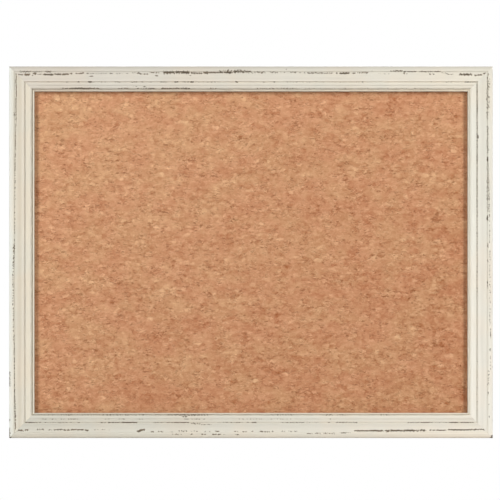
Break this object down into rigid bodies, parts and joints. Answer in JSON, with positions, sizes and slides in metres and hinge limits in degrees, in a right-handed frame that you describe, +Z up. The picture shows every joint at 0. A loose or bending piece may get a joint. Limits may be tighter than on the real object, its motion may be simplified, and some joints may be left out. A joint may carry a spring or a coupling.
{
  "type": "cork board",
  "caption": "Landscape cork board in a distressed off-white wooden frame, with D-ring hangers and rubber bumpers on its back.",
  "frame": {"origin": "on the wall plane, where the rubber bumpers touch it, behind the middle of the board", "axes": "+X to the right seen from the front, +Y into the wall, +Z up; the cork faces -Y"},
  "size_m": [0.6586, 0.0275, 0.5062],
  "materials": {
    "painted_wood": "matte",
    "cork": "matte",
    "fibreboard": "matte",
    "nail_steel": "satin",
    "point_steel": "satin",
    "zinc_plate": "satin",
    "bumper_rubber": "matte"
  },
  "bodies": {
    "board": {"bottom_rail": "painted_wood", "top_rail": "painted_wood", "left_stile": "painted_wood", "right_stile": "painted_wood", "cork_sheet": "cork", "fibreboard_back": "fibreboard", "bottom_rail_v_nail_1": "nail_steel", "bottom_rail_v_nail_2": "nail_steel", "bottom_rail_v_nail_3": "nail_steel", "bottom_rail_v_nail_4": "nail_steel", "top_rail_v_nail_1": "nail_steel", "top_rail_v_nail_2": "nail_steel", "top_rail_v_nail_3": "nail_steel", "top_rail_v_nail_4": "nail_steel", "bottom_rail_point_1": "point_steel", "bottom_rail_point_2": "point_steel", "bottom_rail_point_3": "point_steel", "bottom_rail_point_4": "point_steel", "top_rail_point_1": "point_steel", "top_rail_point_2": "point_steel", "top_rail_point_3": "point_steel", "top_rail_point_4": "point_steel", "left_stile_point_1": "point_steel", "left_stile_point_2": "point_steel", "left_stile_point_3": "point_steel", "right_stile_point_1": "point_steel", "right_stile_point_2": "point_steel", "right_stile_point_3": "point_steel", "left_hanger_strap": "zinc_plate", "right_hanger_strap": "zinc_plate", "left_hanger_screw": "zinc_plate", "right_hanger_screw": "zinc_plate", "left_bumper": "bumper_rubber", "right_bumper": "bumper_rubber"},
    "left_ring": {"left_d_ring": "zinc_plate"},
    "right_ring": {"right_d_ring": "zinc_plate"}
  },
  "joints": [
    {"name": "left_ring_hinge", "type": "hinge", "parent": "board", "child": "left_ring", "pos_m": [-0.31755, -0.00325, 0.1611], "axis": [-1, 0, 0], "range_deg": [0, 180]},
    {"name": "right_ring_hinge", "type": "hinge", "parent": "board", "child": "right_ring", "pos_m": [0.31755, -0.00325, 0.1611], "axis": [-1, 0, 0], "range_deg": [0, 180]}
  ]
}
